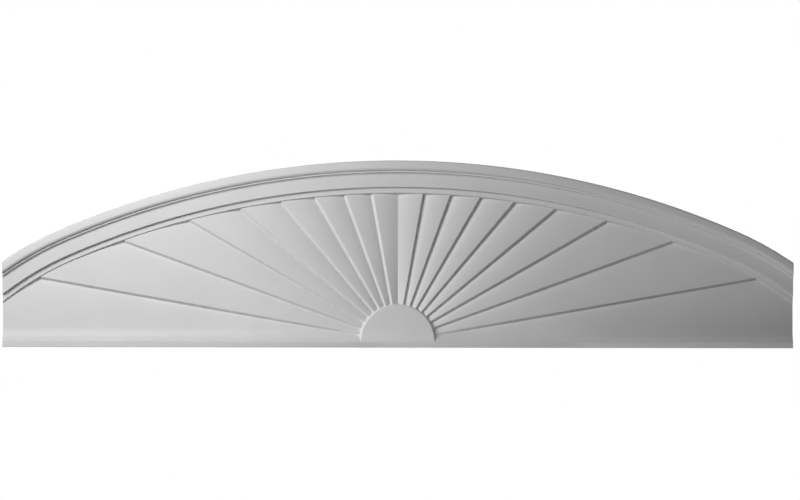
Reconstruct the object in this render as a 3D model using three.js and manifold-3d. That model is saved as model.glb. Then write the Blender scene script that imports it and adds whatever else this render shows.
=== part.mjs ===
// A segmental arch pediment with a sunburst panel, moulded in one piece from rigid polyurethane foam.
// Millimetres, +Z up. The ornamented front faces -Y and the flat back, which goes to the wall, faces +Y.
// The origin is on the underside, half way along its length and half way through the whole projection.
import * as THREE from "three";
import { mergeVertices } from "three/addons/utils/BufferGeometryUtils.js";
import Module from "manifold-3d";

// Overall sizes. A depth is always measured forward from the flat back.
const WIDTH = 1524;
const HEIGHT = 360.5;
const PROJECTION = 63.5;
const BACK_Y = PROJECTION / 2;

// The outer edge of the arch: one long flat arc, and a tighter haunch towards each end.
const CROWN_RADIUS = 1640;
const HAUNCH_RADIUS = 635;
const HAUNCH_START = 655;
const ARCH_END_ANGLE = THREE.MathUtils.degToRad(42);
const ARCH_STEPS = 64;

// The arch moulding, from the outer edge inward: a nosing, a quarter-round, a fillet, a cove, a broad
// fascia, a step down, and a flat bead beside the rays.
const OUTER_CORNER_RADIUS = 3;
const NOSING_WIDTH = 12.5;
const NOSING_FALL = 1;
const ROUND_RADIUS = 7;
const FILLET_WIDTH = 3;
const COVE_RADIUS = 6;
const FASCIA_WIDTH = 22;
const FASCIA_FALL = 0.8;
const STEP_DEPTH = 7.5;
const STEP_DRAFT = 2;
const BEAD_WIDTH = 9.5;
const BEAD_FALL = 0.5;
const FOOT_DEPTH = 26;
const FOOT_DRAFT = 6;
const CORNER_SEGMENTS = 3;
const ROUND_SEGMENTS = 5;

// The sunburst: rays every ten degrees round a centre on top of the base strip. Each ray starts low on
// its side nearer the middle, swells towards the other side, and drops to the next ray by a sloped riser.
// Beside the boss the swell is low and almost straight, and towards the arch it grows and rounds over. Its
// first part is a narrow groove at the foot of the riser above it.
const RAY_COUNT = 9;
const RAY_ANGLE = THREE.MathUtils.degToRad(90 / RAY_COUNT);
const RAY_LOW_DEPTH = 33;
const RISER_AT_BOSS = 4.4;
const RISER_AT_ARCH = 6;
const RISER_WIDTH_AT_BOSS = 5;
const RISER_WIDTH_AT_ARCH = 5.2;
const ROUNDING_AT_BOSS = 0.2;
const ROUNDING_AT_ARCH = 1;
const GROOVE_SHARE = 0.25;
const GROOVE_TIGHTNESS = 8;
const FULL_SWELL_RADIUS = 285;
const RAY_CELLS = 4;
const RAY_LENGTH_CELLS = 8;
const RAY_INNER_RADIUS = 50;
const RAY_UNDER_ARCH = 7;

// The half-round boss that the rays spring from.
const BOSS_RADIUS = 70.5;
const BOSS_TOP_DEPTH = 37.5;
const BOSS_FOOT_DEPTH = 46;
const BOSS_SLOPE = 0.7;
const BOSS_CELLS_ACROSS = 20;
const BOSS_CELLS_UP = 8;

// The plain strip along the bottom, and the cove that sweeps rays and boss forward to its upper edge.
const STRIP_HEIGHT = 11.5;
const STRIP_DEPTH = 53;
const BASE_COVE_HEIGHT = 27;
const BASE_COVE_RISE = 15;
const BASE_COVE_CELLS = 6;
const LAST_RAY_CELLS = 4;
const LAST_RAY_COLUMNS = 22;
const LAST_RAY_START = 45;

// The plain flat body behind the relief, kept inside the arch moulding and the strip round its edge.
const BODY_DEPTH = 18;
const BODY_INSET = 30;
const BODY_STEPS = 24;
const RELIEF_ROOT_DEPTH = 9;

// How far a hidden edge runs on inside its neighbour, so that the joined solids cross cleanly.
const TUCK = 3;

const wasm = await Module();
wasm.setup();

// The solid of a closed three.js geometry.
function solidOf(geometry) {
  const bare = geometry.clone();
  bare.deleteAttribute("normal");
  bare.deleteAttribute("uv");
  const merged = mergeVertices(bare, 1e-4);
  const vertProperties = new Float32Array(merged.getAttribute("position").array);
  const triVerts = new Uint32Array(merged.index.array);
  return new wasm.Manifold(new wasm.Mesh({ numProp: 3, vertProperties, triVerts }));
}

// The geometry of a solid.
function geometryOf(solid) {
  const mesh = solid.getMesh();
  const geometry = new THREE.BufferGeometry();
  geometry.setAttribute("position", new THREE.BufferAttribute(mesh.vertProperties, mesh.numProp));
  geometry.setIndex(new THREE.BufferAttribute(mesh.triVerts, 1));
  geometry.computeVertexNormals();
  return geometry;
}

// Moves every vertex of a geometry to where a function of its place puts it.
function reshape(geometry, place) {
  const position = geometry.getAttribute("position");
  const point = new THREE.Vector3();
  for (let i = 0; i < position.count; i += 1) {
    point.fromBufferAttribute(position, i);
    place(point);
    position.setXYZ(i, point.x, point.y, point.z);
  }
  return geometry;
}

// A closed block rooted in the flat body, with a front that a function gives. The function takes the
// column and the row of a grid point and returns its x, its height z and the depth of the front there.
function reliefBlock(columns, rows, frontAt) {
  const grid = new THREE.BoxGeometry(1, 1, 1, columns, 1, rows);
  return solidOf(
    reshape(grid, (point) => {
      const column = Math.round((point.x + 0.5) * columns);
      const row = Math.round((point.z + 0.5) * rows);
      const front = frontAt(column, row);
      const depth = point.y < 0 ? front.depth : RELIEF_ROOT_DEPTH;
      point.set(front.x, BACK_Y - depth, front.z);
    }),
  );
}

// The outer edge of the arch, set in by a distance, where its outward direction makes an angle with the
// vertical. The crown and the haunch share their tangent where they meet.
const crownHeight = HEIGHT - CROWN_RADIUS;
const haunchAngle = Math.asin(HAUNCH_START / CROWN_RADIUS);
const haunchX = (CROWN_RADIUS - HAUNCH_RADIUS) * Math.sin(haunchAngle);
const haunchHeight = crownHeight + (CROWN_RADIUS - HAUNCH_RADIUS) * Math.cos(haunchAngle);

function archPoint(angle, inset) {
  const onCrown = Math.abs(angle) <= haunchAngle;
  const radius = (onCrown ? CROWN_RADIUS : HAUNCH_RADIUS) - inset;
  const centreX = onCrown ? 0 : Math.sign(angle) * haunchX;
  const centreHeight = onCrown ? crownHeight : haunchHeight;
  return { x: centreX + radius * Math.sin(angle), z: centreHeight + radius * Math.cos(angle) };
}

// The height of the inset edge of the arch above a place along the length.
function archHeightAt(x, inset) {
  const along = Math.abs(x);
  const crownLimit = (CROWN_RADIUS - inset) * Math.sin(haunchAngle);
  if (along <= crownLimit) {
    return crownHeight + Math.sqrt((CROWN_RADIUS - inset) ** 2 - along ** 2);
  }
  return haunchHeight + Math.sqrt((HAUNCH_RADIUS - inset) ** 2 - (along - haunchX) ** 2);
}

// The section of the arch moulding, with the distance in from the outer edge as x and the depth as y.
function archSection() {
  const nosingEnd = NOSING_WIDTH;
  const roundEnd = nosingEnd + ROUND_RADIUS;
  const roundFoot = PROJECTION - ROUND_RADIUS;
  const filletEnd = roundEnd + FILLET_WIDTH;
  const coveEnd = filletEnd + COVE_RADIUS;
  const coveFoot = roundFoot - COVE_RADIUS;
  const fasciaEnd = coveEnd + FASCIA_WIDTH;
  const fasciaDepth = coveFoot - FASCIA_FALL;
  const stepEnd = fasciaEnd + STEP_DRAFT;
  const stepFoot = fasciaDepth - STEP_DEPTH;
  const beadEnd = stepEnd + BEAD_WIDTH;
  const beadDepth = stepFoot - BEAD_FALL;
  const shape = new THREE.Shape();
  shape.moveTo(0, 0);
  shape.lineTo(beadEnd + FOOT_DRAFT, 0);
  shape.lineTo(beadEnd + FOOT_DRAFT, FOOT_DEPTH);
  shape.lineTo(beadEnd, beadDepth);
  shape.lineTo(stepEnd, stepFoot);
  shape.lineTo(fasciaEnd, fasciaDepth);
  shape.lineTo(coveEnd, coveFoot);
  for (let i = 1; i <= ROUND_SEGMENTS; i += 1) {
    const turn = (Math.PI / 2) * (i / ROUND_SEGMENTS);
    shape.lineTo(coveEnd - COVE_RADIUS * Math.sin(turn), roundFoot - COVE_RADIUS * Math.cos(turn));
  }
  shape.lineTo(roundEnd, roundFoot);
  for (let i = 1; i <= ROUND_SEGMENTS; i += 1) {
    const turn = (Math.PI / 2) * (i / ROUND_SEGMENTS);
    shape.lineTo(nosingEnd + ROUND_RADIUS * Math.cos(turn), roundFoot + ROUND_RADIUS * Math.sin(turn));
  }
  const cornerDepth = PROJECTION - NOSING_FALL - OUTER_CORNER_RADIUS;
  for (let i = 0; i < CORNER_SEGMENTS; i += 1) {
    const turn = (Math.PI / 2) * (i / CORNER_SEGMENTS);
    shape.lineTo(
      OUTER_CORNER_RADIUS * (1 - Math.sin(turn)),
      cornerDepth + OUTER_CORNER_RADIUS * Math.cos(turn),
    );
  }
  shape.lineTo(0, cornerDepth);
  shape.closePath();
  return { shape, inner: beadEnd };
}

// The arch moulding: its section extruded straight, then bent along the outer edge of the arch, with
// equal steps of length on crown and haunch.
function makeArch(section) {
  const crownLength = CROWN_RADIUS * haunchAngle;
  const haunchLength = HAUNCH_RADIUS * (ARCH_END_ANGLE - haunchAngle);
  const halfLength = crownLength + haunchLength;
  const straight = new THREE.ExtrudeGeometry(section.shape, {
    depth: 1,
    steps: ARCH_STEPS,
    bevelEnabled: false,
  });
  return solidOf(
    reshape(straight, (point) => {
      const run = (1 - 2 * point.z) * halfLength;
      const beyondCrown = Math.abs(run) - crownLength;
      const angle = beyondCrown > 0 ? haunchAngle + beyondCrown / HAUNCH_RADIUS : Math.abs(run) / CROWN_RADIUS;
      const place = archPoint(Math.sign(run) * angle, point.x);
      point.set(place.x, BACK_Y - point.y, place.z);
    }),
  );
}

// The share by which the base cove has carried a surface forward to the strip, from one at the strip's
// upper edge to nothing at the top of the cove, along an arc of a circle.
const baseCoveRadius = (BASE_COVE_HEIGHT ** 2 + BASE_COVE_RISE ** 2) / (2 * BASE_COVE_RISE);

function coveShare(aboveStrip) {
  const left = THREE.MathUtils.clamp(BASE_COVE_HEIGHT - aboveStrip, 0, BASE_COVE_HEIGHT);
  return (baseCoveRadius - Math.sqrt(baseCoveRadius ** 2 - left ** 2)) / BASE_COVE_RISE;
}

function sweptForward(depth, z) {
  return depth + (STRIP_DEPTH - depth) * coveShare(z - STRIP_HEIGHT);
}

// How far a radius is on the way from the boss, at 0, to where the rays are fully swollen, at 1.
function growthAt(radius) {
  const share = THREE.MathUtils.mapLinear(radius, BOSS_RADIUS, FULL_SWELL_RADIUS, 0, 1);
  return THREE.MathUtils.clamp(share, 0, 1);
}

// The height of the riser between two rays, which grows from the boss to the arch.
function riserHeight(radius) {
  return THREE.MathUtils.lerp(RISER_AT_BOSS, RISER_AT_ARCH, growthAt(radius));
}

// Half the angle that a riser takes up at a radius.
function riserHalfAngle(radius) {
  const width = THREE.MathUtils.lerp(RISER_WIDTH_AT_BOSS, RISER_WIDTH_AT_ARCH, growthAt(radius));
  return Math.asin(width / 2 / radius);
}

// A point of ray number k, where across is 0 on its low side and 1 on its high side. The first ray starts
// on the centre line and the last one ends on the base strip, so those two sides have no riser.
function rayPoint(k, across, radius) {
  const margin = riserHalfAngle(radius);
  const from = k * RAY_ANGLE + (k > 0 ? margin : 0);
  const to = (k + 1) * RAY_ANGLE - (k < RAY_COUNT - 1 ? margin : 0);
  const angle = THREE.MathUtils.lerp(from, to, across);
  const rounding = THREE.MathUtils.lerp(ROUNDING_AT_BOSS, ROUNDING_AT_ARCH, growthAt(radius));
  const swell = across * (1 + rounding * (1 - across));
  const groove = k > 0 ? 1 - (1 - across) ** GROOVE_TIGHTNESS : swell;
  const share = THREE.MathUtils.lerp(swell, groove, GROOVE_SHARE);
  return { angle, depth: RAY_LOW_DEPTH + riserHeight(radius) * share };
}

// The distance from the centre of the sunburst to the arch, in a direction from the vertical.
function radiusToArch(angle, inset) {
  let near = 0;
  let far = WIDTH;
  for (let i = 0; i < 40; i += 1) {
    const middle = (near + far) / 2;
    const x = middle * Math.sin(angle);
    const inside = STRIP_HEIGHT + middle * Math.cos(angle) < archHeightAt(Math.min(x, WIDTH / 2), inset);
    if (inside) {
      near = middle;
    } else {
      far = middle;
    }
  }
  return near;
}

// All the rays but the last on each side, as one fan. Its stations run from the left side over the top to
// the right, and the outermost ones dive under the last rays.
function makeFan(inset) {
  const side = [];
  for (let k = 0; k < RAY_COUNT - 1; k += 1) {
    for (let i = 0; i <= RAY_CELLS; i += 1) {
      side.push({ ray: k, across: i / RAY_CELLS });
    }
  }
  side.push({ ray: RAY_COUNT - 1, across: 0 });
  side.push({ ray: RAY_COUNT - 1, across: 0, tuck: TUCK });
  const left = side.slice(1).reverse().map((station) => ({ ...station, hand: -1 }));
  const right = side.map((station) => ({ ...station, hand: 1 }));
  const stations = [...left, ...right];
  return reliefBlock(stations.length - 1, RAY_LENGTH_CELLS, (column, row) => {
    const station = stations[column];
    const guess = rayPoint(station.ray, station.across, FULL_SWELL_RADIUS).angle;
    const reach = radiusToArch(guess, inset);
    const radius = THREE.MathUtils.lerp(RAY_INNER_RADIUS, reach, row / RAY_LENGTH_CELLS);
    const tuck = station.tuck ?? 0;
    const ray = rayPoint(station.ray, station.across, radius);
    const angle = ray.angle + tuck / radius;
    const z = STRIP_HEIGHT + radius * Math.cos(angle);
    return { x: station.hand * radius * Math.sin(angle), z, depth: sweptForward(ray.depth, z) - tuck };
  });
}

// The last ray of one side, which lies along the base. Its rows follow the cove at the bottom and spread
// up to the riser of the ray above, or to the arch near the end.
function makeLastRay(hand, inset) {
  const rows = BASE_COVE_CELLS + LAST_RAY_CELLS + 2;
  const lastX = WIDTH / 2 + TUCK;
  return reliefBlock(LAST_RAY_COLUMNS, rows, (column, row) => {
    const from = hand > 0 ? column : LAST_RAY_COLUMNS - column;
    const x = THREE.MathUtils.lerp(LAST_RAY_START, lastX, (from / LAST_RAY_COLUMNS) ** 1.3);
    const edge = rayPoint(RAY_COUNT - 1, 0, x).angle;
    const top = Math.min(x / Math.tan(edge), archHeightAt(x, inset) - STRIP_HEIGHT);
    const coveTop = Math.min(BASE_COVE_HEIGHT, top * 0.7);
    let above = THREE.MathUtils.lerp(0, coveTop, (row - 1) / BASE_COVE_CELLS);
    if (row > BASE_COVE_CELLS + 1) {
      above = THREE.MathUtils.lerp(coveTop, top, (row - 1 - BASE_COVE_CELLS) / LAST_RAY_CELLS);
    }
    const across = THREE.MathUtils.clamp((Math.atan2(x, above) - edge) / (Math.PI / 2 - edge), 0, 1);
    const ray = rayPoint(RAY_COUNT - 1, across, Math.hypot(x, above));
    let depth = sweptForward(ray.depth, STRIP_HEIGHT + above);
    if (row === 0) {
      above = -TUCK;
      depth = STRIP_DEPTH - TUCK;
    }
    if (row === rows) {
      above = top + TUCK;
      depth -= TUCK;
    }
    return { x: hand * x, z: STRIP_HEIGHT + above, depth };
  });
}

// The boss: a half disc squared up into a grid of cells. Its face leans, so that it stands further forward
// at the foot than at the top, and its wall slopes out to the panel.
function makeBoss() {
  const columns = BOSS_CELLS_ACROSS;
  const rows = BOSS_CELLS_UP;
  const grid = new THREE.BoxGeometry(1, 1, 1, columns, 1, rows);
  return solidOf(
    reshape(grid, (point) => {
      const u = 2 * point.x;
      const v = point.z + 0.5;
      const isFront = point.y < 0;
      const spread = BOSS_RADIUS + (isFront ? 0 : (BOSS_FOOT_DEPTH - RELIEF_ROOT_DEPTH) * BOSS_SLOPE);
      const x = spread * u * Math.sqrt(1 - (v * v) / 2);
      const above = spread * v * Math.sqrt(1 - (u * u) / 2);
      const z = v > 0 ? STRIP_HEIGHT + above : STRIP_HEIGHT - TUCK;
      const face = THREE.MathUtils.lerp(BOSS_FOOT_DEPTH, BOSS_TOP_DEPTH, above / BOSS_RADIUS);
      const front = v > 0 ? sweptForward(face, z) : STRIP_DEPTH - TUCK;
      point.set(x, BACK_Y - (isFront ? front : RELIEF_ROOT_DEPTH), z);
    }),
  );
}

// A plain block between two corners.
function makeBlock(from, to) {
  const size = new THREE.Vector3().subVectors(to, from);
  const middle = new THREE.Vector3().addVectors(from, to).multiplyScalar(0.5);
  return solidOf(new THREE.BoxGeometry(size.x, size.y, size.z).translate(middle.x, middle.y, middle.z));
}

// The flat body: the outline of the panel under the arch, extruded forward from the back.
function makeBody() {
  const outline = new THREE.Shape();
  const halfLength = WIDTH / 2 + TUCK;
  outline.moveTo(halfLength, STRIP_HEIGHT - TUCK);
  for (let i = 0; i <= BODY_STEPS; i += 1) {
    const x = THREE.MathUtils.lerp(halfLength, -halfLength, i / BODY_STEPS);
    outline.lineTo(x, archHeightAt(x, BODY_INSET));
  }
  outline.lineTo(-halfLength, STRIP_HEIGHT - TUCK);
  outline.closePath();
  const body = new THREE.ExtrudeGeometry(outline, { depth: BODY_DEPTH, bevelEnabled: false });
  return solidOf(body.rotateX(Math.PI / 2).translate(0, BACK_Y, 0));
}

function makePediment() {
  const section = archSection();
  const rayInset = section.inner - RAY_UNDER_ARCH;
  const halfWidth = WIDTH / 2;
  const strip = makeBlock(
    new THREE.Vector3(-halfWidth - TUCK, BACK_Y - STRIP_DEPTH, 0),
    new THREE.Vector3(halfWidth + TUCK, BACK_Y, STRIP_HEIGHT),
  );
  const withinEnds = makeBlock(
    new THREE.Vector3(-halfWidth, BACK_Y - 2 * PROJECTION, -HEIGHT),
    new THREE.Vector3(halfWidth, BACK_Y + PROJECTION, 2 * HEIGHT),
  );
  return makeArch(section)
    .add(makeBody())
    .add(makeFan(rayInset))
    .add(makeLastRay(-1, rayInset))
    .add(makeLastRay(1, rayInset))
    .add(makeBoss())
    .add(strip)
    .intersect(withinEnds);
}

const primedFoam = new THREE.MeshStandardMaterial({ color: 0xe4e4e2, roughness: 0.55, metalness: 0 });
const pediment = new THREE.Mesh(geometryOf(makePediment()), primedFoam);
pediment.name = "sunburst_pediment";

const part = new THREE.Group();
part.add(pediment);
export default part;
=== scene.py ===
# %% [markdown]
# A sunburst pediment in primed foam
#
# This is the moulded ornament that goes over a door or a pair of windows: a low arch with a moulded rim,
# a fan of overlapping rays inside it, a half-round boss where the rays meet, and a plain strip along the
# base. It is cast in one piece from rigid polyurethane foam and sprayed with a satin off-white primer.
#
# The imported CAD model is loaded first. It stays in place as the measure of every size, and the finer
# mesh made below stands for it in the picture.

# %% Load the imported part
import math

import bmesh
import bpy
import numpy as np
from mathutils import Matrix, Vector


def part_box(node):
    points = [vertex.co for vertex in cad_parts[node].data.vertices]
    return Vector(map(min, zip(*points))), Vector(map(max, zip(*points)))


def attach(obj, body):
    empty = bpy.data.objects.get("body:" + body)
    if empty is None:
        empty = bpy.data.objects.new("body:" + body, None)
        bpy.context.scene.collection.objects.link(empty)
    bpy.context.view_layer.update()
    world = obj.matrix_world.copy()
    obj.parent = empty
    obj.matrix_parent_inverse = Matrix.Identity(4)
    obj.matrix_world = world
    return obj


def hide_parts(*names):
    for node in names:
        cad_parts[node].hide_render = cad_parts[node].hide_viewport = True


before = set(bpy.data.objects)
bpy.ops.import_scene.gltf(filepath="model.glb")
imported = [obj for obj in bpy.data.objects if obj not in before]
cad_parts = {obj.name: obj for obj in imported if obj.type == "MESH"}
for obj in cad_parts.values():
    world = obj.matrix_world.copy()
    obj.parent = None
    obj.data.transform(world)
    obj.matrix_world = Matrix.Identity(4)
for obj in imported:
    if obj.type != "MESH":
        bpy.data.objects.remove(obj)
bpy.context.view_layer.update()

# %% [markdown]
# Sizes
#
# Everything hangs on the CAD node's own box: its length, its height, and how far it stands out from the
# wall. The other sizes are the ones that the CAD part is made from. Depth is measured forward from the
# flat back, because that is how a moulding's section is drawn and cut.

# %% Sizes from the frame
MM = 0.001
PEDIMENT_NODE = "sunburst_pediment"
low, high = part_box(PEDIMENT_NODE)
LENGTH = high.x - low.x
HEIGHT = high.z
BACK_Y = high.y
PROJECTION = high.y - low.y
print(f"length {LENGTH / MM:.1f} mm, height {HEIGHT / MM:.1f} mm, projection {PROJECTION / MM:.1f} mm")

# %% Sizes of the arch, the rays and the base
CROWN_RADIUS = 1640 * MM
HAUNCH_RADIUS = 635 * MM
HAUNCH_START = 655 * MM
ARCH_END_ANGLE = math.radians(42)

RAY_COUNT = 9
RAY_ANGLE = math.radians(90 / RAY_COUNT)
RAY_LOW_DEPTH = 33 * MM
RISER_AT_BOSS = 4.4 * MM
RISER_AT_ARCH = 6 * MM
RISER_WIDTH_AT_BOSS = 5 * MM
RISER_WIDTH_AT_ARCH = 5.2 * MM
ROUNDING_AT_BOSS = 0.2
ROUNDING_AT_ARCH = 1
GROOVE_SHARE = 0.25
GROOVE_TIGHTNESS = 8
FULL_SWELL_RADIUS = 285 * MM
RAY_INNER_RADIUS = 50 * MM

BOSS_RADIUS = 70.5 * MM
BOSS_TOP_DEPTH = 37.5 * MM
BOSS_FOOT_DEPTH = 46 * MM
BOSS_SLOPE = 0.7

STRIP_HEIGHT = 11.5 * MM
STRIP_DEPTH = 53 * MM
BASE_COVE_HEIGHT = 27 * MM
BASE_COVE_RISE = 15 * MM

# Hidden edges run on this far inside their neighbours, so that the solids cross cleanly when joined.
TUCK = 3 * MM
# The solids of the relief start at this depth, inside the flat body.
ROOT_DEPTH = 9 * MM
BODY_DEPTH = 18 * MM

# %% [markdown]
# Closed grids
#
# A cast relief is one skin over a solid. Its long parts are a section swept along a line, and one helper
# lists their faces. The rays are a front that is easy to write as a grid of points, with a plain root
# buried in the body. So another helper turns a front grid into a closed block: the same grid again at the
# root, and a wall round the edge. Closed blocks can be joined with a Boolean, which open sheets can't.

# %% Helper: a mesh object from points and faces
SAME_POINT = 0.001 * MM


def mesh_object(name, points, faces):
    mesh = bpy.data.meshes.new(name)
    mesh.from_pydata([tuple(p) for p in points], [], faces)
    made = bmesh.new()
    made.from_mesh(mesh)
    bmesh.ops.remove_doubles(made, verts=made.verts, dist=SAME_POINT)
    bmesh.ops.recalc_face_normals(made, faces=made.faces)
    made.to_mesh(mesh)
    made.free()
    thing = bpy.data.objects.new(name, mesh)
    bpy.context.scene.collection.objects.link(thing)
    return thing


# %% Helper: the faces of a swept section
def swept_faces(stations, around, closed=True):
    """Quads from each station's section to the next one's, and a cap on both ends."""
    faces = []
    for i in range(stations - 1):
        here = i * around
        beyond = here + around
        for j in range(around if closed else around - 1):
            k = (j + 1) % around
            faces.append([here + j, here + k, beyond + k, beyond + j])
    faces.append(list(range(around)))
    faces.append(list(range((stations - 1) * around, stations * around)))
    return faces


# %% Helper: a closed block from a grid of front points
def relief_block(name, across, height, depth):
    """across, height and depth are grids of the same shape, rows going up and columns going to +X."""
    rows, columns = across.shape
    front = np.stack([across, BACK_Y - depth, height], axis=-1).reshape(-1, 3)
    root = np.stack([across, np.full_like(across, BACK_Y - ROOT_DEPTH), height], axis=-1).reshape(-1, 3)
    index = np.arange(rows * columns).reshape(rows, columns)
    behind = index + rows * columns
    cells = np.stack([index[:-1, :-1], index[:-1, 1:], index[1:, 1:], index[1:, :-1]], axis=-1)
    faces = cells.reshape(-1, 4).tolist()
    faces += (cells[..., ::-1] + rows * columns).reshape(-1, 4).tolist()
    rim = np.concatenate([index[0, :-1], index[:-1, -1], index[-1, :0:-1], index[:0:-1, 0]])
    rim_behind = np.concatenate([behind[0, :-1], behind[:-1, -1], behind[-1, :0:-1], behind[:0:-1, 0]])
    for i in range(len(rim)):
        j = (i + 1) % len(rim)
        faces.append([int(rim[j]), int(rim[i]), int(rim_behind[i]), int(rim_behind[j])])
    return mesh_object(name, np.concatenate([front, root]), faces)


# %% [markdown]
# The line of the arch
#
# The rim of the real pediment is nearly one flat arc that tightens towards its ends. Two circles that
# share a tangent give that with three numbers. A point of the rim is named by the angle of its outward
# direction from the vertical, and by how far it is set in from the outer edge.

# %% The arch as two circles
crown_height = HEIGHT - CROWN_RADIUS
haunch_angle = math.asin(HAUNCH_START / CROWN_RADIUS)
haunch_x = (CROWN_RADIUS - HAUNCH_RADIUS) * math.sin(haunch_angle)
haunch_height = crown_height + (CROWN_RADIUS - HAUNCH_RADIUS) * math.cos(haunch_angle)


def arch_point(angle, inset):
    on_crown = np.abs(angle) <= haunch_angle
    radius = np.where(on_crown, CROWN_RADIUS, HAUNCH_RADIUS) - inset
    centre_x = np.where(on_crown, 0, np.sign(angle) * haunch_x)
    centre_height = np.where(on_crown, crown_height, haunch_height)
    return centre_x + radius * np.sin(angle), centre_height + radius * np.cos(angle)


def arch_height(x, inset):
    along = np.abs(x)
    crown_limit = (CROWN_RADIUS - inset) * math.sin(haunch_angle)
    on_crown = np.sqrt((CROWN_RADIUS - inset) ** 2 - np.minimum(along, crown_limit) ** 2)
    past = np.clip(along - haunch_x, 0, HAUNCH_RADIUS - inset)
    on_haunch = np.sqrt((HAUNCH_RADIUS - inset) ** 2 - past**2)
    return np.where(along <= crown_limit, crown_height + on_crown, haunch_height + on_haunch)


print(f"the arch springs to {float(arch_height(LENGTH / 2, 0)) / MM:.0f} mm at the cut ends")

# %% [markdown]
# The arch moulding
#
# From the edge inward the section is a nosing, a quarter-round, a fillet, a cove, a broad fascia, a small
# step, and a flat bead beside the rays. On a casting no arris is truly sharp: the mould and the primer
# round it by a millimetre or so, and that thin round is what catches the light. The section is written
# as corners with a radius each, and the helper puts a short arc on every corner and a holding point just
# beyond it, which keeps smooth shading from bleeding over the flats.

# %% Helper: a section with rounded corners
HOLD = 0.5 * MM
ROOM_TO_HOLD = 3 * HOLD
CORNER_STEPS = 4


def rounded_section(corners):
    """corners are (x, y, radius). A radius of zero keeps the corner as one sharp point."""
    line = []
    count = len(corners)
    for i, (x, y, radius) in enumerate(corners):
        here = Vector((x, y))
        if radius == 0:
            line.append(here)
            continue
        before = Vector(corners[i - 1][:2]) - here
        after = Vector(corners[(i + 1) % count][:2]) - here
        turn = math.pi - before.angle(after)
        reach = radius * math.tan(turn / 2)
        start = here + before.normalized() * reach
        end = here + after.normalized() * reach
        if before.length > reach + ROOM_TO_HOLD:
            line.append(start + before.normalized() * HOLD)
        for k in range(CORNER_STEPS + 1):
            t = k / CORNER_STEPS
            line.append(start * (1 - t) ** 2 + here * 2 * t * (1 - t) + end * t**2)
        if after.length > reach + ROOM_TO_HOLD:
            line.append(end + after.normalized() * HOLD)
    return np.array([tuple(p) for p in line])


# %% The section of the arch moulding
OUTER_CORNER_RADIUS = 3 * MM
NOSING_WIDTH = 12.5 * MM
NOSING_FALL = 1 * MM
ROUND_RADIUS = 7 * MM
FILLET_WIDTH = 3 * MM
COVE_RADIUS = 6 * MM
FASCIA_WIDTH = 22 * MM
FASCIA_FALL = 0.8 * MM
STEP_DEPTH = 7.5 * MM
STEP_DRAFT = 2 * MM
BEAD_WIDTH = 9.5 * MM
BEAD_FALL = 0.5 * MM
FOOT_DEPTH = 26 * MM
FOOT_DRAFT = 6 * MM
ARRIS = 0.9 * MM
CREASE = 0.6 * MM
ARC_STEPS = 9

round_end = NOSING_WIDTH + ROUND_RADIUS
round_foot = PROJECTION - ROUND_RADIUS
fillet_end = round_end + FILLET_WIDTH
cove_end = fillet_end + COVE_RADIUS
cove_foot = round_foot - COVE_RADIUS
fascia_end = cove_end + FASCIA_WIDTH
fascia_depth = cove_foot - FASCIA_FALL
step_end = fascia_end + STEP_DRAFT
step_foot = fascia_depth - STEP_DEPTH
bead_end = step_end + BEAD_WIDTH
bead_depth = step_foot - BEAD_FALL


def arc(centre_x, centre_y, radius, start, end):
    """Corners without a radius along an arc, from one angle to another in degrees."""
    angles = np.radians(np.linspace(start, end, ARC_STEPS))
    return [(centre_x + radius * math.cos(a), centre_y + radius * math.sin(a), 0) for a in angles]


arch_corners = [
    (0, 0, 0),
    (bead_end + FOOT_DRAFT, 0, 0),
    (bead_end + FOOT_DRAFT, FOOT_DEPTH, 0),
    (bead_end, bead_depth, ARRIS),
    (step_end, step_foot, CREASE),
    (fascia_end, fascia_depth, ARRIS),
    *arc(cove_end, round_foot, COVE_RADIUS, 270, 184),
    (fillet_end, round_foot, CREASE),
    (round_end, round_foot, CREASE / 2),
    *arc(NOSING_WIDTH, round_foot, ROUND_RADIUS, 6, 90),
    (0, PROJECTION - NOSING_FALL, OUTER_CORNER_RADIUS),
]
arch_section = rounded_section(arch_corners)
print(f"the section of the arch moulding has {len(arch_section)} points, {bead_end / MM:.1f} mm across")

# %% Sweep the section along the arch
ARCH_STATIONS = 240

crown_run = CROWN_RADIUS * haunch_angle
haunch_run = HAUNCH_RADIUS * (ARCH_END_ANGLE - haunch_angle)
run = np.linspace(-(crown_run + haunch_run), crown_run + haunch_run, ARCH_STATIONS + 1)
past_crown = np.abs(run) - crown_run
station_angle = np.sign(run) * np.where(
    past_crown > 0, haunch_angle + past_crown / HAUNCH_RADIUS, np.abs(run) / CROWN_RADIUS
)
arch_x, arch_z = arch_point(station_angle[:, None], arch_section[None, :, 0])
arch_y = np.broadcast_to(BACK_Y - arch_section[None, :, 1], arch_x.shape)
arch_points = np.stack([arch_x, arch_y, arch_z], axis=-1).reshape(-1, 3)
arch = mesh_object("arch_solid", arch_points, swept_faces(ARCH_STATIONS + 1, len(arch_section)))
print(f"arch moulding: {len(arch.data.polygons)} faces")

# %% [markdown]
# The rays
#
# The panel is a fan of rays, ten degrees each. A ray starts low on its side nearer the middle, rises
# quickly out of a narrow groove, swells towards its other side, and drops to the next ray by a short
# slope. Under a light from the left those slopes are pale lines on the left half, except the lowest ones,
# and dark lines on the right half. The base cove carries the whole panel forward to the strip, along an
# arc of a circle. A displaced plane could give this too, but its cells would cut across the slopes. Here
# every column of the grid follows a ray, so the slopes and their softened edges are exact.

# %% The sweep of the base cove
cove_circle = (BASE_COVE_HEIGHT**2 + BASE_COVE_RISE**2) / (2 * BASE_COVE_RISE)


def swept_forward(depth, z):
    left = np.clip(BASE_COVE_HEIGHT - (z - STRIP_HEIGHT), 0, BASE_COVE_HEIGHT)
    share = (cove_circle - np.sqrt(cove_circle**2 - left**2)) / BASE_COVE_RISE
    return depth + (STRIP_DEPTH - depth) * share


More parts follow.
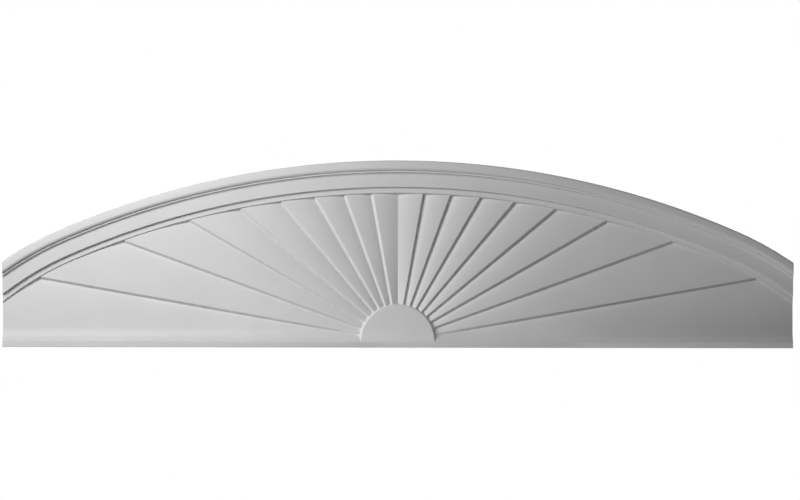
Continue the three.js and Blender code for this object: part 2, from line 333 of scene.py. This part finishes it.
# %% The surface of one ray
def growth_at(radius):
    """0 beside the boss, 1 where the rays are fully swollen."""
    return np.clip((radius - BOSS_RADIUS) / (FULL_SWELL_RADIUS - BOSS_RADIUS), 0, 1)


def riser_height(radius):
    return RISER_AT_BOSS + (RISER_AT_ARCH - RISER_AT_BOSS) * growth_at(radius)


def riser_half_angle(radius):
    """Half the angle that a riser takes up."""
    width = RISER_WIDTH_AT_BOSS + (RISER_WIDTH_AT_ARCH - RISER_WIDTH_AT_BOSS) * growth_at(radius)
    return np.arcsin(width / 2 / radius)


def ray_point(k, across, radius):
    """The angle and the depth of ray k, where across is 0 on its low side and 1 on its high side."""
    start = k * RAY_ANGLE + (riser_half_angle(radius) if k > 0 else 0)
    end = (k + 1) * RAY_ANGLE - (riser_half_angle(radius) if k < RAY_COUNT - 1 else 0)
    rounding = ROUNDING_AT_BOSS + (ROUNDING_AT_ARCH - ROUNDING_AT_BOSS) * growth_at(radius)
    swell = across * (1 + rounding * (1 - across))
    groove = 1 - (1 - across) ** GROOVE_TIGHTNESS if k > 0 else swell
    share = swell + (groove - swell) * GROOVE_SHARE
    return start + (end - start) * across, RAY_LOW_DEPTH + riser_height(radius) * share


# %% The soft slope between two rays
RISER_STEPS = 8
EASED_SHARE = 0.35


def riser_points(k, radius):
    """Angles and depths down the slope on the low side of ray k, with both of its edges eased."""
    points = []
    for t in np.linspace(0, 1, RISER_STEPS + 1):
        left = 1 - EASED_SHARE * t**2 * (3 - 2 * t) - (1 - EASED_SHARE) * t
        angle = k * RAY_ANGLE + riser_half_angle(radius) * (2 * t - 1)
        points.append((angle, RAY_LOW_DEPTH + riser_height(radius) * left))
    return points


# %% How far a ray runs before it goes under the arch
RAY_UNDER_ARCH = 7 * MM
HALVINGS = 40
ray_inset = bead_end - RAY_UNDER_ARCH


def radius_to_arch(angle):
    """Halves the span between a point inside the arch and one outside it, until it is nothing."""
    near = 0.0
    far = LENGTH
    for _ in range(HALVINGS):
        middle = (near + far) / 2
        x = min(middle * math.sin(angle), LENGTH / 2)
        inside = STRIP_HEIGHT + middle * math.cos(angle) < arch_height(x, ray_inset)
        near, far = (middle, far) if inside else (near, middle)
    return near


# %% The fan of rays on both sides
RAY_ROWS = 36
ROWS_TOWARDS_BOSS = 1.25
HEM_LEAN = 0.2
ACROSS_STEPS = (0.04, 0.09, 0.15, 0.23, 0.34, 0.5, 0.66, 0.8, 0.92)


def right_half_columns():
    """Columns of (angles, depths, heights), from the centre line out to the slope above the last ray."""
    columns = []

    def add(angle_guess, place):
        share = np.linspace(0, 1, RAY_ROWS + 1) ** ROWS_TOWARDS_BOSS
        radius = RAY_INNER_RADIUS + (radius_to_arch(angle_guess) - RAY_INNER_RADIUS) * share
        for angle, depth in place(radius):
            z = STRIP_HEIGHT + radius * np.cos(angle)
            columns.append((radius * np.sin(angle), swept_forward(depth, z), z))

    add(0, lambda radius: [(0 * radius, RAY_LOW_DEPTH + 0 * radius)])
    for k in range(RAY_COUNT - 1):
        for across in ACROSS_STEPS:
            guess = ray_point(k, across, FULL_SWELL_RADIUS)[0]
            add(guess, lambda radius, k=k, across=across: [ray_point(k, across, radius)])
        add((k + 1) * RAY_ANGLE, lambda radius, k=k: riser_points(k + 1, radius))
    x, depth, z = columns[-1]
    columns.append((x + TUCK * HEM_LEAN, depth - TUCK, z - TUCK))
    return columns


right_half = right_half_columns()
left_half = [(-x, depth, z) for x, depth, z in right_half[:0:-1]]
fan_columns = left_half + right_half
fan = relief_block(
    "fan_solid",
    np.stack([x for x, depth, z in fan_columns], axis=1),
    np.stack([z for x, depth, z in fan_columns], axis=1),
    np.stack([depth for x, depth, z in fan_columns], axis=1),
)
print(f"fan of rays: {len(fan_columns)} columns, {len(fan.data.polygons)} faces")

# %% [markdown]
# The two long rays at the bottom lie along the base, where the cove matters more than the fan. Their grid
# runs straight along the length instead: the lower rows follow the cove, and the upper rows spread up
# to the slope of the ray above or to the arch.

# %% The long bottom rays
COVE_ROWS = 16
UPPER_ROWS = 10
LONG_COLUMNS = 110
COLUMNS_TOWARDS_BOSS = 1.3
LONG_RAY_START = 45 * MM
CRAMPED_COVE = 0.7


def long_ray(name, hand):
    """The lowest ray on the right for a hand of 1, or on the left for a hand of -1."""
    share = np.linspace(0, 1, LONG_COLUMNS + 1) ** COLUMNS_TOWARDS_BOSS
    x = LONG_RAY_START + (LENGTH / 2 + TUCK - LONG_RAY_START) * share
    edge = ray_point(RAY_COUNT - 1, 0, x)[0]
    top = np.minimum(x / np.tan(edge), arch_height(x, ray_inset) - STRIP_HEIGHT)
    cove_top = np.minimum(BASE_COVE_HEIGHT, top * CRAMPED_COVE)
    lower = [cove_top * row / COVE_ROWS for row in range(COVE_ROWS + 1)]
    upper = [cove_top + (top - cove_top) * row / UPPER_ROWS for row in range(1, UPPER_ROWS + 1)]
    above = np.stack(lower + upper)
    across = np.clip((np.arctan2(x, above) - edge) / (math.pi / 2 - edge), 0, 1)
    flat = ray_point(RAY_COUNT - 1, across, np.hypot(x, above))[1]
    depth = swept_forward(flat, STRIP_HEIGHT + above)
    above = np.vstack([np.full_like(x, -TUCK), above, top + TUCK])
    depth = np.vstack([np.full_like(x, STRIP_DEPTH - TUCK), depth, depth[-1] - TUCK])
    along = np.broadcast_to(hand * x, above.shape)
    if hand < 0:
        along, above, depth = along[:, ::-1], above[:, ::-1], depth[:, ::-1]
    return relief_block(name, along, STRIP_HEIGHT + above, depth)


long_rays = [long_ray("long_ray_left", -1), long_ray("long_ray_right", 1)]
print(f"long rays: {len(long_rays[0].data.polygons)} faces each")

# %% [markdown]
# The boss
#
# A half disc that hides the point where the rays would run together. It is turned like a lathe piece
# through half a circle: a flat face, a softened rim, and a wall that leans out to the panel so that the
# casting leaves its mould. Then the face is leaned forward towards its foot, as its even tone in the
# photograph asks for, and the same base cove carries it on to the strip.

# %% Turn the boss
BOSS_RINGS = 34
BOSS_STEPS = 96
ABOVE_ROOT = 0.01 * MM

wall_spread = (BOSS_FOOT_DEPTH - ROOT_DEPTH) * BOSS_SLOPE
boss_corners = [
    (0, ROOT_DEPTH, 0),
    (BOSS_RADIUS + wall_spread, ROOT_DEPTH, 0),
    (BOSS_RADIUS, BOSS_FOOT_DEPTH, ARRIS),
    *[(BOSS_RADIUS * (1 - ring / BOSS_RINGS), BOSS_FOOT_DEPTH, 0) for ring in range(1, BOSS_RINGS + 1)],
]
boss_section = rounded_section(boss_corners)
boss_turn = np.radians(np.linspace(-90, 90, BOSS_STEPS + 1))
boss_above = boss_section[None, :, 0] * np.cos(boss_turn)[:, None]
boss_x = boss_section[None, :, 0] * np.sin(boss_turn)[:, None]
boss_depth = np.broadcast_to(boss_section[None, :, 1], boss_x.shape)
boss_lean = (BOSS_FOOT_DEPTH - BOSS_TOP_DEPTH) * np.minimum(boss_above / BOSS_RADIUS, 1)
boss_depth = boss_depth - boss_lean * (boss_depth - ROOT_DEPTH) / (BOSS_FOOT_DEPTH - ROOT_DEPTH)
swept_depth = swept_forward(boss_depth, STRIP_HEIGHT + boss_above)
boss_depth = np.where(boss_depth > ROOT_DEPTH + ABOVE_ROOT, swept_depth, boss_depth)
# Both ends of the turn sink into the strip, so that the joined solids cross there.
boss_above = np.vstack([np.full_like(boss_x[:1], -TUCK), boss_above, np.full_like(boss_x[:1], -TUCK)])
boss_x = np.vstack([boss_x[:1], boss_x, boss_x[-1:]])
sunk = np.minimum(boss_depth[:1], STRIP_DEPTH - TUCK)
boss_depth = np.vstack([sunk, boss_depth, np.minimum(boss_depth[-1:], STRIP_DEPTH - TUCK)])
boss_points = np.stack([boss_x, BACK_Y - boss_depth, STRIP_HEIGHT + boss_above], axis=-1).reshape(-1, 3)
# The section's last point and its first both lie on the axis, so no face closes it there.
boss = mesh_object("boss_solid", boss_points, swept_faces(*boss_x.shape, closed=False))
print(f"boss: {len(boss.data.polygons)} faces")

# %% [markdown]
# The strip and the flat body
#
# The strip is a plain bar along the base, with its long edges just softened. The flat body is the outline
# of the panel, extruded. Its rim hides inside the arch moulding and the strip, and everything else is
# rooted in it. Both run past the ends, where one straight cut trims them all.

# %% The base strip
def bar_along(name, section):
    """A section of (depth, height) points, run along the whole length and a little further."""
    reach = LENGTH / 2 + TUCK
    points = [(x, BACK_Y - depth, z) for x in (-reach, reach) for depth, z in section]
    return mesh_object(name, points, swept_faces(2, len(section)))


STRIP_ARRIS = 1 * MM
strip_corners = [
    (0, 0, 0),
    (STRIP_DEPTH, 0, STRIP_ARRIS),
    (STRIP_DEPTH, STRIP_HEIGHT, STRIP_ARRIS / 2),
    (0, STRIP_HEIGHT, 0),
]
strip = bar_along("strip_solid", rounded_section(strip_corners))

# %% The flat body
BODY_INSET = 30 * MM
BODY_STEPS = 48

reach = LENGTH / 2 + TUCK
outline_x = np.linspace(reach, -reach, BODY_STEPS + 1)
outline = [(reach, STRIP_HEIGHT - TUCK)]
outline += list(zip(outline_x, arch_height(outline_x, BODY_INSET)))
outline.append((-reach, STRIP_HEIGHT - TUCK))
body_points = [(x, BACK_Y - depth, z) for depth in (0, BODY_DEPTH) for x, z in outline]
body = mesh_object("body_solid", body_points, swept_faces(2, len(outline)))

# %% [markdown]
# One casting
#
# The real pediment leaves the mould as one piece, so the blocks are joined into one closed skin. The
# Boolean modifier's manifold solver is quick and exact on closed blocks. The last Boolean keeps what lies
# between the two ends, which are cut square.

# %% Join the blocks and cut the ends
END_BLOCK_MARGIN = 0.3


def boolean(target, other, operation):
    modifier = target.modifiers.new("join", "BOOLEAN")
    modifier.object = other
    modifier.operation = operation
    modifier.solver = "MANIFOLD"
    bpy.context.view_layer.objects.active = target
    bpy.ops.object.modifier_apply(modifier=modifier.name)
    bpy.data.objects.remove(other)


for block in (arch, fan, *long_rays, boss, strip):
    boolean(body, block, "UNION")

end_low = Vector((-LENGTH / 2, BACK_Y - PROJECTION - END_BLOCK_MARGIN, -HEIGHT))
end_high = Vector((LENGTH / 2, BACK_Y + END_BLOCK_MARGIN, 2 * HEIGHT))
end_corners = [
    (x, y, z)
    for x in (end_low.x, end_high.x)
    for y in (end_low.y, end_high.y)
    for z in (end_low.z, end_high.z)
]
end_faces = [[0, 1, 3, 2], [4, 6, 7, 5], [0, 4, 5, 1], [2, 3, 7, 6], [0, 2, 6, 4], [1, 5, 7, 3]]
boolean(body, mesh_object("end_block", end_corners, end_faces), "INTERSECT")

pediment = body
pediment.name = "pediment_moulding"
pediment.data.name = "pediment_moulding"

# %% Clean the mesh and set its smooth and sharp edges
SHARP_ANGLE = math.radians(33)
WELD_DISTANCE = 0.01 * MM
SHORTEST_EDGE = 0.005 * MM

made = bmesh.new()
made.from_mesh(pediment.data)
bmesh.ops.remove_doubles(made, verts=made.verts, dist=WELD_DISTANCE)
bmesh.ops.dissolve_degenerate(made, edges=made.edges, dist=SHORTEST_EDGE)
open_edges = sum(1 for edge in made.edges if len(edge.link_faces) != 2)
volume = made.calc_volume()
triangles = sum(len(face.verts) - 2 for face in made.faces)
made.to_mesh(pediment.data)
made.free()
pediment.data.shade_smooth()
pediment.data.set_sharp_from_angle(angle=SHARP_ANGLE)
print(f"one casting: {triangles} triangles, {open_edges} open edges")
print(f"volume {volume / (10 * MM) ** 3:.0f} cubic cm")

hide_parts(PEDIMENT_NODE)
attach(pediment, "root")

# %% [markdown]
# Shader maths
#
# A material is easier to read as sums than as a wall of node calls. This class wraps one socket. An
# operator between sockets or numbers adds a Math node, and the node method adds any other node: its
# settings first, because they can change its sockets, and then the values or links.

# %% A socket that can be added, multiplied and mixed
class Shade:
    def __init__(self, tree, socket):
        self.tree = tree
        self.socket = socket

    def node(self, kind, settings, sockets, output=0):
        """Adds a node. Sockets are named or numbered, and take a value or another Shade."""
        made = self.tree.nodes.new(kind)
        for name, value in settings.items():
            setattr(made, name, value)
        for name, value in sockets.items():
            if isinstance(value, Shade):
                self.tree.links.new(value.socket, made.inputs[name])
            else:
                made.inputs[name].default_value = value
        return Shade(self.tree, made.outputs[output] if made.outputs else None)

    def math(self, operation, first, second):
        return self.node("ShaderNodeMath", {"operation": operation}, {0: first, 1: second})

    def __add__(self, other):
        return self.math("ADD", self, other)

    def __sub__(self, other):
        return self.math("SUBTRACT", self, other)

    def __rsub__(self, other):
        return self.math("SUBTRACT", other, self)

    def __mul__(self, other):
        return self.math("MULTIPLY", self, other)

    def over(self, start, end):
        """Nothing at start, one at end, and a soft S between."""
        settings = {"interpolation_type": "SMOOTHSTEP"}
        sockets = {"Value": self, "From Min": start, "From Max": end}
        return self.node("ShaderNodeMapRange", settings, sockets)

    def blend(self, share, first, second):
        """The first colour where the share is nought and the second where it is one."""
        sockets = {0: share, 6: first, 7: second}
        return self.node("ShaderNodeMix", {"data_type": "RGBA"}, sockets, 2)

    __radd__ = __add__
    __rmul__ = __mul__


# %% [markdown]
# Primed and raw foam
#
# The front is a sprayed primer: an even off-white with a soft satin sheen. It isn't optically flat. The
# spray leaves a fine orange peel, the foam skin below has slow shallow waves a centimetre or two long,
# and here and there an air bubble has left a pinhole. Each pinhole is dented and also painted a dark
# grey, which is painted shade inside the pit. The coat is a little thinner in places, so its brightness
# drifts by a hundredth or two. All of these are laid in object space, to keep their real size, and they
# stay
# faint: enough to break up the light where it grazes the surface.

# %% Marks in the primer
PRIMER_LIGHT = (0.72, 0.72, 0.72, 1)
PRIMER_THIN = (0.705, 0.705, 0.705, 1)
# Painted shade: the dark grey put inside each pinhole, where the pit would be in shade.
PINHOLE_PAINTED_SHADE = (0.42, 0.41, 0.39, 1)
PRIMER_ROUGHNESS = 0.5
DRIFT_START, DRIFT_END = 0.35, 0.65
SOFT_DETAIL = 2.0
CLOUDY_DETAIL = 3.0
PEEL_PER_METRE = 260
WAVE_PER_METRE = 60
DRIFT_PER_METRE = 14
PINHOLES_PER_METRE = 24
PINHOLE_RARITY = 0.9
PINHOLE_RADIUS = 0.9 * MM
PEEL_DEPTH = 0.12 * MM
WAVE_DEPTH = 0.07 * MM
PINHOLE_DEPTH = 0.5 * MM


def noise(place, per_metre, detail):
    """Cloudy noise from nought to one, with so many lumps to a metre."""
    sockets = {"Vector": place, "Scale": per_metre, "Detail": detail}
    return place.node("ShaderNodeTexNoise", {}, sockets)


def pinholes(place):
    """One at the middle of a few of the cells of a Voronoi pattern, nothing elsewhere."""
    sockets = {"Vector": place, "Scale": PINHOLES_PER_METRE}
    distance = place.node("ShaderNodeTexVoronoi", {}, sockets, "Distance")
    colour = place.node("ShaderNodeTexVoronoi", {}, sockets, "Color")
    chosen = colour.node("ShaderNodeSeparateColor", {}, {"Color": colour}, "Red")
    chosen = chosen.math("GREATER_THAN", chosen, PINHOLE_RARITY)
    edge = PINHOLE_RADIUS * PINHOLES_PER_METRE
    return (1 - distance.over(edge / 2, edge)) * chosen


# %% [markdown]
# Only what the spray gun reaches is primed. The back lay on the press, and the two ends are saw cuts, so
# there the raw foam shows: a warm cream with fine closed cells, and a ragged edge of overspray round the
# back. One mask tells the two apart from the place alone. The photograph shows neither side, so this is
# how such mouldings usually look and not a measured thing.

# %% Where the foam is bare
RAW_CREAM = (0.74, 0.66, 0.5, 1)
RAW_BROWN = (0.62, 0.53, 0.37, 1)
RAW_EXTRA_ROUGHNESS = 0.35
CELLS_PER_METRE = 900
CELLS_START, CELLS_END = 0.35, 0.7
CELL_DEPTH = 0.12 * MM
SAW_CUT = 0.15 * MM
OVERSPRAY_REACH = 14 * MM
OVERSPRAY_PER_METRE = 70
OVERSPRAY_START, OVERSPRAY_END = OVERSPRAY_REACH * 0.55, OVERSPRAY_REACH * 0.75
RAGGED_DETAIL = 4.0
BACK_FILM = 0.2 * MM


def bare_foam(place):
    """One on the back and the saw-cut ends, nothing on the primed front."""
    sides = place.node("ShaderNodeSeparateXYZ", {}, {"Vector": place}, "X")
    depth = place.node("ShaderNodeSeparateXYZ", {}, {"Vector": place}, "Y")
    height = place.node("ShaderNodeSeparateXYZ", {}, {"Vector": place}, "Z")
    along = sides.math("ABSOLUTE", sides, 0.0)
    end = along.math("GREATER_THAN", along, LENGTH / 2 - SAW_CUT)
    back = depth.math("GREATER_THAN", depth, BACK_Y - BACK_FILM)
    ragged = height + noise(place, OVERSPRAY_PER_METRE, RAGGED_DETAIL) * OVERSPRAY_REACH
    reached = ragged.over(OVERSPRAY_START, OVERSPRAY_END)
    return end.math("MAXIMUM", end, back * reached)


# %% Material: primed foam, bare at the back and the ends
def primed_foam():
    material = bpy.data.materials.new("primed_foam")
    material.use_nodes = True
    tree = material.node_tree
    tree.nodes.clear()
    place = Shade(tree, None).node("ShaderNodeTexCoord", {}, {}, "Object")
    bare = bare_foam(place)
    pinhole_pits_and_shade = pinholes(place) * (1 - bare)
    thin = noise(place, DRIFT_PER_METRE, CLOUDY_DETAIL).over(DRIFT_START, DRIFT_END)
    primer = place.blend(thin, PRIMER_LIGHT, PRIMER_THIN)
    cells = noise(place, CELLS_PER_METRE, SOFT_DETAIL)
    raw = place.blend(cells.over(CELLS_START, CELLS_END), RAW_CREAM, RAW_BROWN)
    # The pinholes get painted shade here, a dark grey inside each pit, on top of their dent in the bump.
    colour = place.blend(bare, place.blend(pinhole_pits_and_shade, primer, PINHOLE_PAINTED_SHADE), raw)
    roughness = PRIMER_ROUGHNESS + bare * RAW_EXTRA_ROUGHNESS
    peel = noise(place, PEEL_PER_METRE, SOFT_DETAIL) * PEEL_DEPTH
    waves = noise(place, WAVE_PER_METRE, CLOUDY_DETAIL) * WAVE_DEPTH
    height = peel + waves - pinhole_pits_and_shade * PINHOLE_DEPTH + bare * cells * CELL_DEPTH
    bump = place.node("ShaderNodeBump", {}, {"Height": height, "Distance": 1.0, "Strength": 1.0})
    finish = {"Base Color": colour, "Roughness": roughness, "Normal": bump}
    shader = place.node("ShaderNodeBsdfPrincipled", {}, finish)
    place.node("ShaderNodeOutputMaterial", {}, {"Surface": shader})
    return material


pediment.data.materials.clear()
pediment.data.materials.append(primed_foam())
print(f"primed foam: {len(pediment.data.materials[0].node_tree.nodes)} nodes")

# %% [markdown]
# The camera
#
# In the photograph the arch is the same on the left and on the right, both ends are cut by upright lines,
# and no top or underside shows. So it was taken from straight in front, half way up, and from far away.
# A long lens at nine metres gives the same picture without any lens shift. The very small roll is the
# slope of the lower edge in the photograph.

# %% The camera
CAMERA_DISTANCE = 9000 * MM
CAMERA_HEIGHT = 188.1 * MM
CAMERA_X = 4 * MM
CAMERA_ROLL = math.radians(-0.1)
FOCAL_LENGTH = 210.4
SENSOR_WIDTH = 36

camera_data = bpy.data.cameras.new("camera")
camera_data.lens = FOCAL_LENGTH
camera_data.sensor_width = SENSOR_WIDTH
camera = bpy.data.objects.new("camera", camera_data)
camera.location = (CAMERA_X, low.y - CAMERA_DISTANCE, CAMERA_HEIGHT)
camera.rotation_euler = (math.pi / 2, CAMERA_ROLL, 0)
bpy.context.scene.collection.objects.link(camera)
bpy.context.scene.camera = camera
bpy.context.scene.view_settings.view_transform = "Standard"

# %% [markdown]
# The stage
#
# The photograph is a cut-out: pure white all round, with no floor and no shadow. A plain floor that glows
# white, in front of a world that is white to the camera, gives that without hiding anything. The floor
# throws no light on the moulding, because the light from below is placed on purpose further down.

# %% Floor
FLOOR_HALF = 4

floor_corners = [(FLOOR_HALF * x, FLOOR_HALF * y, 0) for x, y in ((-1, -1), (1, -1), (1, 1), (-1, 1))]
floor = mesh_object("floor", floor_corners, [[0, 1, 2, 3]])
white = bpy.data.materials.new("white_stage")
white.use_nodes = True
white.node_tree.nodes.clear()
stage_glow = Shade(white.node_tree, None).node("ShaderNodeEmission", {}, {"Strength": 1.0})
stage_glow.node("ShaderNodeOutputMaterial", {}, {"Surface": stage_glow})
floor.data.materials.append(white)
floor.visible_diffuse = False
floor.visible_glossy = False

# %% World
BACKDROP_COLOUR = (1, 1, 1, 1)

world = bpy.data.worlds.new("studio")
world.use_nodes = True
world.node_tree.nodes.clear()
seen = Shade(world.node_tree, None).node("ShaderNodeLightPath", {}, {}, "Is Camera Ray")
glow = seen.node("ShaderNodeBackground", {}, {"Color": BACKDROP_COLOUR, "Strength": seen})
glow.node("ShaderNodeOutputWorld", {}, {"Surface": glow})
bpy.context.scene.world = world

# %% [markdown]
# The light
#
# In the photograph every edge that faces left is pale and every one that faces right is dark, and the
# left end is brighter than the right one. So the main lamp stands well to the left, low and near enough
# to fall off along the length. A weaker one from the upper left lights the nosing, and a third, level
# with the middle, fills the shadows. Two cards on the floor give back the light that the lower right
# picks up, and two narrow slits of light reach only the base strip and the foot of the cove above it. The
# back gets lamps of its own, which the front never sees.

# %% Lamps
AIM = Vector((0, 0, 0.17))
LAMP_SIZE = (0.4, 0.25)
BACK_LAMP_SIZE = (1.2, 0.8)


def area_light(name, place, target, size, strength):
    """A lamp of that size in metres and strength in watts, hidden from the camera."""
    data = bpy.data.lights.new(name, "AREA")
    data.shape = "RECTANGLE"
    data.size, data.size_y = size
    data.energy = strength
    lamp = bpy.data.objects.new(name, data)
    lamp.location = place
    lamp.rotation_euler = (Vector(target) - Vector(place)).to_track_quat("-Z", "Y").to_euler()
    lamp.visible_camera = False
    bpy.context.scene.collection.objects.link(lamp)
    return data


def lamp_towards(name, turn, lift, distance, size, strength):
    """A lamp aimed at the middle, turned from straight in front and lifted, in degrees."""
    turn = math.radians(turn)
    lift = math.radians(lift)
    way = Vector((math.sin(turn) * math.cos(lift), -math.cos(turn) * math.cos(lift), math.sin(lift)))
    area_light(name, AIM + distance * way, AIM, size, strength)


lamp_towards("side", turn=-60, lift=5, distance=2.4, size=LAMP_SIZE, strength=21.5)
lamp_towards("upper", turn=-36, lift=28, distance=1.2, size=LAMP_SIZE, strength=5.7)
lamp_towards("level", turn=-24, lift=0, distance=1.2, size=LAMP_SIZE, strength=2.0)
lamp_towards("behind_left", turn=142, lift=22, distance=2.4, size=BACK_LAMP_SIZE, strength=26)
lamp_towards("behind_right", turn=-150, lift=35, distance=2.6, size=BACK_LAMP_SIZE, strength=14)

# %% Cards on the floor
CARD_LIFT = 4 * MM


def card(name, x, y, size, strength):
    """A card that lies on the floor and faces up."""
    area_light(name, (x, y, CARD_LIFT), (x, y, 1), size, strength)


card("card", x=0.625, y=-0.38, size=(0.55, 0.44), strength=0.56)
card("near_card", x=0, y=-0.1, size=(0.7, 0.12), strength=0.075)

# %% Slits of light along the base strip
SLIT_Y = -0.36
SLIT_LIFT = 6 * MM
SLIT_HEIGHT = 8 * MM
SLIT_SPREAD = math.radians(8)


def slit(name, x, length, strength):
    """A long low light that faces the strip and spreads too little to reach far above it."""
    light = area_light(name, (x, SLIT_Y, SLIT_LIFT), (x, 0, 0), (length, SLIT_HEIGHT), strength)
    light.spread = SLIT_SPREAD


slit("slit", x=0.42, length=0.9, strength=0.0055)
slit("far_slit", x=0.6, length=0.5, strength=0.003)
print(f"lights: {len(bpy.data.lights)}")
